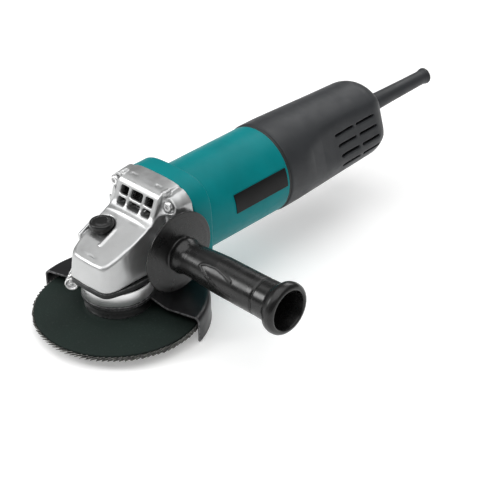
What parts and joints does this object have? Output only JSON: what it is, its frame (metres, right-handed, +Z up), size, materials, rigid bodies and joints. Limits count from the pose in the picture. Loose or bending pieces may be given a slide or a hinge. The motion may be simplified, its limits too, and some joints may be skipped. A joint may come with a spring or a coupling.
{
  "type": "angle grinder",
  "caption": "Small corded angle grinder with a flap disc, half-round guard, side handle, spindle lock button, slide switch and open cord sleeve.",
  "frame": {"origin": "centre of the spindle's lower end face", "axes": "+Z up along the spindle, +Y back along the motor, +X along the side handle; the gear head faces -Y"},
  "size_m": [0.1938, 0.3745, 0.0942],
  "materials": {
    "cast_aluminium": "die-cast, fine blasted, matte silver",
    "teal_plastic": "satin teal moulded nylon",
    "charcoal_plastic": "fine-textured charcoal moulded nylon",
    "black_plastic": "semi-gloss black moulded nylon",
    "label_black": "plain black label with no lettering",
    "black_casting": "black painted casting",
    "guard_black": "black powder-coated sheet steel",
    "zinc_steel": "bright zinc-plated steel",
    "steel": "machined steel",
    "dark_steel": "blackened steel",
    "fibreglass": "dark green-black fibreglass backing",
    "abrasive_cloth": "grey coated abrasive cloth flaps",
    "bronze": "sintered bronze",
    "copper": "enamelled copper winding",
    "laminations": "stacked electrical steel",
    "brass": "pressed brass",
    "carbon": "pressed carbon",
    "natural_polymer": "unpainted natural nylon",
    "switch_polymer": "black moulded switch case"
  },
  "bodies": {
    "tool_body": {"gear_housing": "cast_aluminium", "bearing_box": "black_casting", "spindle_bearing": "steel", "bearing_retainer": "dark_steel", "spindle_bush": "bronze", "lock_spring": "steel", "motor_housing": "teal_plastic", "rear_cover": "charcoal_plastic", "label_plate": "label_black", "baffle_plate": "natural_polymer", "stator_core": "laminations", "field_coil_upper": "copper", "field_coil_lower": "copper", "front_bearing": "steel", "rear_bearing": "steel", "brush_holder_upper": "brass", "brush_holder_lower": "brass", "carbon_brush_upper": "carbon", "carbon_brush_lower": "carbon", "brush_spring_upper": "steel", "brush_spring_lower": "steel", "switch_body": "switch_polymer", "cord_guard": "charcoal_plastic", "cord_clamp": "charcoal_plastic", "side_handle": "black_plastic", "handle_stud": "steel", "rear_cover_screw": "steel", "cord_clamp_screw_left": "steel", "cord_clamp_screw_right": "steel", "gear_case_screw_1": "zinc_steel", "bearing_box_screw_1": "steel", "gear_case_screw_2": "zinc_steel", "bearing_box_screw_2": "steel", "gear_case_screw_3": "zinc_steel", "bearing_box_screw_3": "steel", "gear_case_screw_4": "zinc_steel", "bearing_box_screw_4": "steel"},
    "spindle_assembly": {"spindle": "steel", "crown_gear": "steel", "gear_circlip": "steel", "inner_flange": "dark_steel", "backing_plate": "fibreglass", "flap_ring": "abrasive_cloth", "lock_nut": "dark_steel"},
    "armature": {"armature_shaft": "steel", "armature_core": "laminations", "armature_windings": "copper", "commutator": "copper", "cooling_fan": "natural_polymer", "pinion": "steel"},
    "lock_button": {"lock_button_cap": "black_plastic", "lock_pin": "steel"},
    "switch_control": {"switch_slider": "black_plastic", "switch_rod": "natural_polymer"},
    "guard": {"guard_shell": "guard_black", "guard_collar": "zinc_steel", "guard_clamp_screw": "zinc_steel", "guard_clamp_nut": "zinc_steel"}
  },
  "joints": [
    {"name": "spindle_spin", "type": "hinge", "parent": "tool_body", "child": "spindle_assembly", "pos_m": [0, 0, 0], "axis": [0, 0, 1], "continuous": true},
    {"name": "armature_spin", "type": "hinge", "parent": "tool_body", "child": "armature", "pos_m": [0, 0, 0.051], "axis": [0, 1, 0], "continuous": true},
    {"name": "lock_button_press", "type": "slide", "parent": "tool_body", "child": "lock_button", "axis": [0, 0, -1], "range_m": [0, 0.003], "stiffness_N_per_m": 900, "springref_m": -0.002, "deforming": ["lock_spring"]},
    {"name": "switch_slide", "type": "slide", "parent": "tool_body", "child": "switch_control", "axis": [0, -1, 0], "range_m": [0, 0.008]},
    {"name": "guard_turn", "type": "hinge", "parent": "tool_body", "child": "guard", "pos_m": [0, 0, 0], "axis": [0, 0, 1], "range_deg": [-50, 75]}
  ],
  "couplings": [
    {"joint": "armature_spin", "follows": "spindle_spin", "ratio": 3.7}
  ]
}
